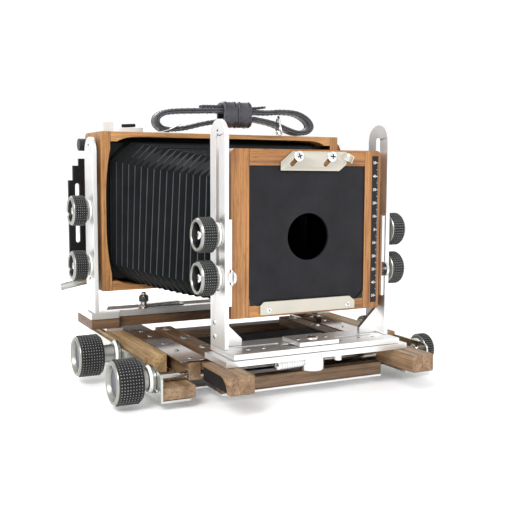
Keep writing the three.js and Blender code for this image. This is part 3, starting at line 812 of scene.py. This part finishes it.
def keeper_stitches(bm, outline, x, depth, middle):
    """A row of stitches just proud of a keeper's outline."""
    proud = 1.07
    for k, (u, v) in enumerate(outline):
        nu, nv = outline[(k + 1) % len(outline)]
        for t in (0.2, 0.7):
            spot = Vector((x * MM, depth + (u + (nu - u) * t) * proud,
                           middle + (v + (nv - v) * t) * proud))
            block(bm, spot - STITCH, spot + STITCH, THREAD)


def keeper(name, x0, x1, bottom, top):
    """A loop of leather round the gathered strands, with two rows of stitches."""
    depth = strap_depth()
    middle = (top + bottom) / 2 * MM
    wide, high = KEEPER_WIDTH, top - bottom
    outer = rounded_section(wide * MM, high * MM, 4.5 * MM, 6)
    inner = rounded_section((wide - 2 * KEEPER_WALL) * MM, (high - 2 * KEEPER_WALL) * MM,
                            3.2 * MM, 6)
    bm = bmesh.new()
    rings = []
    for x, section, crown in ((x0 + 0.5, inner, 0), (x0, inner, 0.3), (x0, outer, 0),
                              (x0 + 0.8, outer, 1), ((x0 + x1) / 2, outer, 1.3),
                              (x1 - 0.8, outer, 1), (x1, outer, 0), (x1, inner, 0.3),
                              (x1 - 0.5, inner, 0)):
        grow = 1 + crown * KEEPER_CROWN / (wide / 2)
        rings.append([bm.verts.new(Vector((x * MM, depth + u * grow, middle + v * grow)))
                      for u, v in section])
    for j, first in enumerate(rings):
        join_rings(bm, first, rings[(j + 1) % len(rings)])
    for x in (x0 + 2.0, x1 - 2.0):
        keeper_stitches(bm, outer, x, depth, middle)
    place(bm, name, [leather, thread], "film_standard", "leather", sharp=40.0)


def make_strap():
    """One long strand looped at both ends, a short one and the loose tail, all gathered by
    two keepers."""
    long_strand = [(-47, 0, 199.0), (-53, 0, 200.2), (-57.4, 0, 204.2), (-57, 0, 209.4),
                   (-51, 0, 213.4), (-40, 0, 215.2), (-20, 0, 216.3), (9, 0, 217.4),
                   (30, 0, 217.0), (48, 0, 216.8), (63, 0, 218.0), (79, 0, 217.0),
                   (90, 0, 212.0), (94.5, 0, 205.5), (90, 0, 200.6), (80, 0, 199.4),
                   (70, 0, 202.0), (54, 0, 207.4), (34, 0, 210.8)]
    short_strand = [(34, -0.4, 210.2), (10, -0.4, 209.4), (-1, -0.4, 207.6),
                    (-16, -0.4, 204.8), (-33, -0.4, 200.8), (-45, -0.4, 199.6)]
    first = strap_band("strap_long_strand", long_strand)
    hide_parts("strap_handle")
    strap_band("strap_short_strand", short_strand, width=11.0, thick=1.8)
    strap_band("strap_tail", [(-16, -0.6, 220.4), (-8, -0.6, 220.7), (4, -0.6, 220.9),
                              (18, -0.6, 220.6), (34, -0.8, 220.4), (46, -1.0, 221.6)],
               width=9.0, thick=0.9)
    bottom, top = 203.6, 224.3
    keeper("strap_keeper_1", 3.5, 16.5, bottom, top)
    keeper("strap_keeper_2", 17.3, 30.5, bottom, top)


def make_strap_fittings():
    """The wire triangle on the right, the slotted lug on the left, and their plates."""
    depth = strap_depth() / MM
    floor = box_mm("rear_box")[1].z
    wire = rounded_section(2.2 * MM, 2.2 * MM, 1.05 * MM, 4)
    bm = bmesh.new()
    triangle = [(60, -10.5, 197.6), (58.5, -10.5, 203), (60, -4, 212.5), (61.5, 0, 213.4),
                (62.5, 4, 212.5), (65, 10.5, 203), (66.5, 10.5, 197.6)]
    foot = [(60, -10.5, 197.2), (66.5, 10.5, 197.2)]
    sweep(bm, smooth_path(strap_points(triangle), 6), wire, Vector((1, 0, 0)))
    sweep(bm, strap_points(foot), wire, Vector((1, 0, 0)))
    thick = 1.2
    for x0, x1, half in ((55, 71, 7), (-60, -36, 8)):
        block_mm(bm, (x0, depth - half, floor), (x1, depth + half, floor + thick))
    tongue = strap_points([(-55, 0, 197.0), (-47, 0, 199.4), (-37, 0, 204.4)])
    sweep(bm, smooth_path(tongue, 5), rounded_section(15 * MM, 1.0 * MM, 0.4 * MM))
    place(bm, "strap_fittings", [steel], "film_standard", "nickel")


# ---- screws, scale and small fittings ----

UP, FRONT, OUT = (0, 0, 1), (0, -1, 0), (1, 0, 0)
FIRST_TURN, NEXT_TURN = 0.4, 1.1  # of the screws' recesses, in radians
SWING_AXIS_Y = -89.5


def screws(name, body, spots, slot="nickel", finish=steel):
    """Screw heads as (x, y, z, axis, radius) in millimetres."""
    bm = bmesh.new()
    for k, (x, y, z, axis, radius) in enumerate(spots):
        screw(bm, Vector((x, y, z)) * MM, axis, radius, FIRST_TURN + NEXT_TURN * k)
    place(bm, name, [finish, black_anodised], body, slot)


def both_sides(x, y, z, axis, radius):
    """A spot and its mirror image."""
    return [(way * x, y, z, (way * axis[0], axis[1], axis[2]), radius) for way in (1, -1)]


def make_bed_screws():
    rail_top = box_mm("inner_rail_right")[1].z
    wing_top = box_mm("wing_plate_right")[1].z
    bracket = box_mm("side_bracket_right")[1].x
    spots = [s for y in (47, 7, -32) for s in both_sides(60.4, y, rail_top, UP, 3.9)]
    screws("rail_screws", "front_bed", spots, "aluminium", aluminium)
    spots = [s for y in (51, 28, -4, -32, -59) for s in both_sides(82.5, y, wing_top, UP, 1.9)]
    spots += [s for y in (-71, 60, 94) for s in both_sides(bracket, y, 12, OUT, 2.2)]
    screws("base_screws", "base", spots)


def make_front_screws():
    upright = box_mm("front_upright_right")[1]
    spots = [s for z in (57, 47) for s in both_sides(upright.x, -70, z, OUT, 2.1)]
    spots += [s for x in (40, 52) for s in both_sides(x, -91, 39.7, UP, 1.6)]
    screws("upright_screws", "front_shift", spots)
    pins = both_sides(upright.x, -75, upright.z - 7.8, OUT, 0.9)
    screws("upright_pins", "front_shift", pins, finish=cup_black)
    foot_plate = box_mm("lens_board")[0].y - 1.9
    latch = box_mm("board_latch")[1].y - LATCH_THICKNESS
    spots = [(x, latch, LATCH_SCREW_Z, FRONT, 3.8) for x in LATCH_SCREWS_X]
    spots += [(x, foot_plate, 65, FRONT, 1.9) for x in (-32.6, 33.3)]
    screws("board_screws", "lens_standard", spots)
    clamp = box_mm("swing_clamp_plate")[1].z
    spots = [(x, SWING_AXIS_Y, clamp, UP, r) for x, r in ((0, 4.5), (-11.5, 1.7), (11.5, 1.7))]
    screws("clamp_screws", "front_swing", spots)


def make_rear_screws():
    low, high = box_mm("rear_upright_right")
    spots = [s for z in (58, 74) for s in both_sides(high.x, 69, z, OUT, 2.0)]
    screws("rear_upright_screws", "rear_swing", spots)
    pins = both_sides(high.x, (low.y + high.y) / 2, high.z - 6.4, OUT, 0.9)
    screws("rear_upright_pins", "rear_swing", pins, finish=cup_black)


# The scale, in millimetres, with a mark for each one.
SCALE_MIDDLE = 120
SCALE_REACH = 50
SCALE_LEFT, SCALE_RIGHT = 54.5, 59.5
SCALE_BOTTOM, SCALE_TOP = 65, 175
SCALE_PROUD = 0.42
NUMBER_SIZE = 2.8


def make_scale():
    """The rise scale: a black strip with a mark for each millimetre, longer at 5 and 10."""
    face = box_mm("lens_frame")[0].y
    bm = bmesh.new()
    block_mm(bm, (SCALE_LEFT, face - 0.35, SCALE_BOTTOM), (SCALE_RIGHT, face - 0.02, SCALE_TOP))
    for step in range(-SCALE_REACH, SCALE_REACH + 1):
        length, half = 0.45, 0.05
        if step % 10 == 0:
            length, half = 1.3, 0.17
        elif step % 5 == 0:
            length, half = 0.9, 0.12
        z = SCALE_MIDDLE + step
        end = SCALE_RIGHT - 0.3
        block_mm(bm, (end - length, face - SCALE_PROUD, z - half), (end, face - 0.3, z + half), 1)
    place(bm, "rise_scale", [scale_black, scale_white], "lens_standard", "black_anodised")
    for step in range(-SCALE_REACH, SCALE_REACH + 1, 10):
        place_at = (SCALE_RIGHT - 1.75, face - SCALE_PROUD - 0.02, SCALE_MIDDLE + step)
        scale_number(f"rise_number_{step + SCALE_REACH}", str(abs(step)), Vector(place_at) * MM)


def scale_number(name, digits, place_at):
    """Raised figures facing the front, ending at place_at."""
    data = bpy.data.curves.new("rise_number", "FONT")
    data.body = digits
    data.size = NUMBER_SIZE * MM
    data.align_x = "RIGHT"
    data.align_y = "CENTER"
    data.extrude = 0.03 * MM
    mesh = curve_mesh(data)
    mesh.transform(Matrix.Translation(place_at) @ STANDING)
    mesh.materials.clear()
    mesh.materials.append(scale_white)
    number = new_object(name, mesh)
    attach(number, "lens_standard")


def make_cup_discs():
    """A small turned cup between each slider and the lens frame."""
    bm = bmesh.new()
    for _, way in SIDES:
        where = axes_at(Vector((62.5 * way, -88.5, 90.5)) * MM, (way, 0, 0))
        lathe(bm, where, [(0, 0), (5.4, 0), (5.6, 0.4), (5.6, 1.6), (5.1, 1.9), (3.6, 1.9),
                          (3.2, 0.9), (0, 0.9)], 32)
    place(bm, "slider_cups", [steel], "front_rise", "nickel")


def rack(name, body, x, y0, y1, z_top, width=7.0):
    """A toothed strip, teeth down."""
    pitch = 1.6 * MM
    root, tip = z_top - 0.7 * MM, z_top - 1.4 * MM
    count = int((y1 - y0) / pitch)
    outline = [(y0, z_top)]
    for k in range(count):
        y = y0 + k * pitch
        outline += [(y, root), (y + pitch * 0.3, tip), (y + pitch * 0.6, tip),
                    (y + pitch * 0.9, root)]
    outline.append((y0 + count * pitch, z_top))
    bm = bmesh.new()
    left, right = ([bm.verts.new((x + way * width / 2 * MM, y, z)) for y, z in outline]
                   for way in (-1, 1))
    join_rings(bm, left, right)
    bm.faces.new(left)
    bm.faces.new(list(reversed(right)))
    place(bm, name, [steel], body, "nickel")


def make_racks():
    low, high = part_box("bed_panel")
    rack("front_focus_rack", "front_bed", 0.0, low.y + 8 * MM, high.y - 2 * MM, low.z)
    for side, way in SIDES:
        rack("rear_focus_rack_" + side, "rear_carriage", way * 98 * MM, -17 * MM, 40 * MM,
             25.5 * MM, width=5.0)


def make_wear_strips():
    """Pale metal strips that the rear board rests on, over the outer rails."""
    bm = bmesh.new()
    low, high = box_mm("rear_board")
    inner, outer = box_mm("outer_rail_right")
    for _, way in SIDES:
        x0, x1 = sorted((way * (inner.x + 2), way * (outer.x - 2)))
        block_mm(bm, (x0, low.y + 1, outer.z + 0.2), (x1, outer.y, low.z - 0.2))
    place(bm, "carriage_wear_strips", [aluminium], "rear_carriage", "aluminium")


def make_index_lines():
    """Fine centre lines on the front edges of the standard's plates."""
    for node, body in (("swing_clamp_plate", "front_swing"), ("shift_plate", "front_shift"),
                       ("standard_base_plate", "front_bed")):
        low, high = box_mm(node)
        half, gap = 0.12, 0.4
        bm = bmesh.new()
        block_mm(bm, (-half, low.y - 0.03, low.z + gap), (half, low.y + 0.05, high.z - gap))
        place(bm, node + "_index", [black_anodised], body, "black_anodised")


def make_swing_lever():
    """The lock lever: a round boss, and a bright fluted handle out to the camera's right."""
    low, high = box_mm("swing_lock_lever")
    centre = Vector((0, SWING_AXIS_Y, 0)) * MM
    bm = bmesh.new()
    lathe(bm, Matrix.Translation(centre) @ MILLIMETRES, [
        (0, low.z), (8.6, low.z), (9.3, low.z + 0.7), (9.3, high.z - 0.7), (8.6, high.z),
        (0, high.z)], 40)
    axis = Vector((-1, -0.22, 0.03)).normalized()
    start = centre + Vector((0, 0, 26.6 * MM))
    neck, flutes, pitch = 10.0, 9, 2.3
    profile = [(0, 7), (2.2, 7), (2.2, neck)]
    for k in range(flutes):
        x = neck + k * pitch
        profile += [(3.2, x + 0.2), (3.2, x + 1.5), (2.5, x + 1.8), (2.5, x + 2.2)]
    x = neck + flutes * pitch
    profile += [(3.1, x + 0.3), (3.3, x + 1.6), (2.6, x + 3.0), (1.3, x + 3.4),
                (1.1, x + 2.6), (0, x + 2.6)]
    lathe(bm, axes_at(start, axis), profile, 28)
    place(bm, "swing_lock_handle", [steel], "swing_lock", "aluminium", "swing_lock_lever")


def make_bed_liners():
    """A black block in the hollow behind the nose of each bed block, painted shade for that
    hollow, and the wooden cheek that closes it on the inner side."""
    low, high = box_mm("bed_block_right")
    cheek, proud = 4.0, 0.05
    for side, way in SIDES:
        bm = bmesh.new()
        x0, x1 = sorted((way * (low.x + cheek), way * (high.x - 1.2)))
        # The black block filling the hollow is painted shade for the hollow's darkness.
        block_mm(bm, (x0, low.y + 9, low.z + 0.6), (x1, high.y, high.z - 3))
        x0, x1 = sorted((way * (low.x - proud), way * (low.x + cheek)))
        block_mm(bm, (x0, low.y + 5, low.z + 0.1), (x1, high.y, high.z - 2.4), 1)
        place(bm, "bed_block_shade_and_cheek_" + side, [black_anodised, wood_y], "front_bed",
              "black_anodised")


CIRCLE_STEPS = 96
STANDING = Matrix.Rotation(math.pi / 2, 4, "X")


def curve_mesh(data):
    """The mesh of a curve or text, which is then thrown away."""
    curve = new_object(data.name, data)
    bpy.context.view_layer.update()
    mesh = bpy.data.meshes.new_from_object(curve)
    bpy.data.objects.remove(curve)
    return mesh


def filled_plate(name, outlines, y0, y1, edge, finishes, body, slot, *replaced):
    """Outlines in (x, z), the first with the others as holes, carried along Y with a
    small chamfer on every edge."""
    data = bpy.data.curves.new(name, "CURVE")
    data.dimensions = "2D"
    data.fill_mode = "BOTH"
    for outline in outlines:
        spline = data.splines.new("POLY")
        spline.points.add(len(outline) - 1)
        for point, (x, z) in zip(spline.points, outline):
            point.co = (x, z, 0, 1)
        spline.use_cyclic_u = True
    data.extrude = (y1 - y0) / 2 - edge
    data.bevel_depth = edge
    data.bevel_resolution = 1
    data.offset = -edge
    mesh = curve_mesh(data)
    mesh.transform(Matrix.Translation((0, (y0 + y1) / 2, 0)) @ STANDING)
    bm = bmesh.new()
    bm.from_mesh(mesh)
    merge_corners(bm)
    place(bm, name, finishes, body, slot, *replaced)


def circle(z, radius):
    """A circle about (0, z)."""
    turns = [2 * math.pi * k / CIRCLE_STEPS for k in range(CIRCLE_STEPS)]
    return [(radius * math.cos(a), z + radius * math.sin(a)) for a in turns]


LENS_HOLE_Z = 116.5 * MM
LENS_HOLE_RADIUS = 17.0 * MM


def make_lens_board():
    """The charcoal board with its round hole and cut lower corners, and a thin black triangle of
    painted shade on the frame's face at each cut corner.
    """
    low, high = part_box("lens_board")
    cut = 5.6 * MM
    outline = [(low.x + cut, low.z), (high.x - cut, low.z), (high.x, low.z + cut),
               (high.x, high.z), (low.x, high.z), (low.x, low.z + cut)]
    hole = circle(LENS_HOLE_Z, LENS_HOLE_RADIUS)
    filled_plate("lens_board_plate", [outline, hole], low.y, high.y, 0.25 * MM,
                 [board_black], "lens_standard", "lens_board", "lens_board")
    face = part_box("lens_frame")[0].y
    # Thin black triangles on the frame's face at the board's cut corners: painted shade for the
    # deep corners.
    for side, way in SIDES:
        edge = high.x * way
        corner = [(edge, low.z), (edge - way * cut, low.z), (edge, low.z + cut)]
        filled_plate("board_corner_painted_shade_" + side, [corner], face - 0.06 * MM, face + 0.2 * MM,
                     0.02 * MM, [cup_black], "lens_standard", "lens_board")


def slanted_slot(x, z, reach, radius, steps=8):
    """A slot from (x, z) down to the left at 45 degrees."""
    points = []
    for cx, cz, start in ((x, z, -45), (x - reach, z - reach, 135)):
        for k in range(steps + 1):
            angle = math.radians(start + 180 * k / steps)
            points.append((cx + radius * math.cos(angle), cz + radius * math.sin(angle)))
    return points


LATCH_THICKNESS = 1.2
LATCH_SCREWS_X = (-9.2, 18.4)
LATCH_SCREW_Z = 174.2


def make_latch():
    """The latch plate with its two slanted slots, and the lug bent forward at its end."""
    y1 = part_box("board_latch")[1].y
    y0 = y1 - LATCH_THICKNESS * MM
    corners = [(-24, 164), (24.5, 163.8), (30.6, 168.6), (31.6, 176.4), (30.2, 177.8),
               (-14.3, 177.8), (-24, 170)]
    outline = [(x * MM, z * MM) for x, z in corners]
    slots = [slanted_slot(x * MM, LATCH_SCREW_Z * MM, 5.7 * MM, 1.6 * MM)
             for x in LATCH_SCREWS_X]
    filled_plate("board_latch_plate", [outline] + slots, y0, y1, 0.2 * MM, [cream_nickel],
                 "latch", "nickel", "board_latch")
    bend = [(27.0, 0.6, 174.8), (29.6, 0.2, 174.4), (31.6, -1.0, 173.6), (32.8, -2.8, 172.6),
            (33.2, -4.4, 171.8)]
    path = [Vector((x * MM, y0 + y * MM, z * MM)) for x, y, z in bend]
    bm = bmesh.new()
    sweep(bm, smooth_path(path, 6), rounded_section(5.8 * MM, 1.0 * MM, 0.45 * MM),
          Vector((0, 0, 1)))
    place(bm, "board_latch_lug", [cream_nickel], "latch", "nickel")


def make_clamp_lever():
    """The rear clamp: a small knurled cap on its post, and two thin flat arms."""
    low, high = box_mm("rear_lock_lever")
    foot = low.z
    where = Matrix.Translation(Vector((-73.4, 69.5, 0)) * MM) @ MILLIMETRES
    bm = bmesh.new()
    lathe(bm, where, [(0, foot), (4.8, foot), (5.0, foot + 0.6), (5.0, foot + 2.4),
                      (3.4, foot + 3.0), (3.0, foot + 5.0), (4.0, foot + 5.4)], 30)
    knurl(bm, where, 4.3, foot + 5.4, foot + 9.8, 30, 4, 0.3, 1, 0)
    lathe(bm, where, [(4.0, foot + 9.8), (3.6, foot + 10.8), (2.4, foot + 11.4),
                      (2.2, foot + 12.8), (1.2, high.z), (0, high.z)], 30)
    merge_corners(bm)
    half, thick = 2.8, 1.4
    for turn, reach, lift in ((0.0, 36, 0.1), (0.16, 34, 1.8)):
        block(bm, (0, -half, foot + lift), (reach, half, foot + lift + thick), 0,
              where @ Matrix.Rotation(turn, 4, "Z"))
    place(bm, "rear_clamp_lever", [nickel, knurl_black], "rear_clamp", "nickel",
          "rear_lock_lever")


def make_top_fittings():
    """A stop block and a level with its black tube, on the top of the box."""
    top = box_mm("rear_box")[1]
    bm = bmesh.new()
    for x0, x1, front, back, height in ((-98, -90, 6, 0.5, 10), (-84, -64, 8, 1, 5.5)):
        block_mm(bm, (x0, top.y - front, top.z), (x1, top.y - back, top.z + height))
    tube = axes_at(Vector((-82, top.y - 4.5, top.z + 7)) * MM, (1, 0, 0.06))
    lathe(bm, tube, [(0, 0), (1.2, 0), (1.5, 0.4), (1.5, 11.6), (1.2, 12), (0, 12)], 20, 1)
    place(bm, "back_top_fittings", [aluminium, black_anodised], "film_standard", "aluminium")


def make_back_lever():
    """The small flat lever at the box's lower left corner."""
    path = [Vector((x, 106, z)) * MM
            for x, z in ((-113.5, 68), (-120, 67), (-130, 65), (-136, 63.8))]
    bm = bmesh.new()
    sweep(bm, smooth_path(path, 5), rounded_section(3.5 * MM, 6.4 * MM, 1.0 * MM))
    place(bm, "back_lever", [bracket_metal], "film_standard", "aluminium")


make_camera()
make_world()
make_lights()
make_floor()
finish_cad_nodes()
make_knobs()
make_bellows()
make_strap()
make_strap_fittings()
make_bed_screws()
make_front_screws()
make_rear_screws()
make_scale()
make_cup_discs()
make_racks()
make_wear_strips()
make_index_lines()
make_bed_liners()
make_lens_board()
make_latch()
make_clamp_lever()
make_swing_lever()
make_top_fittings()
make_back_lever()
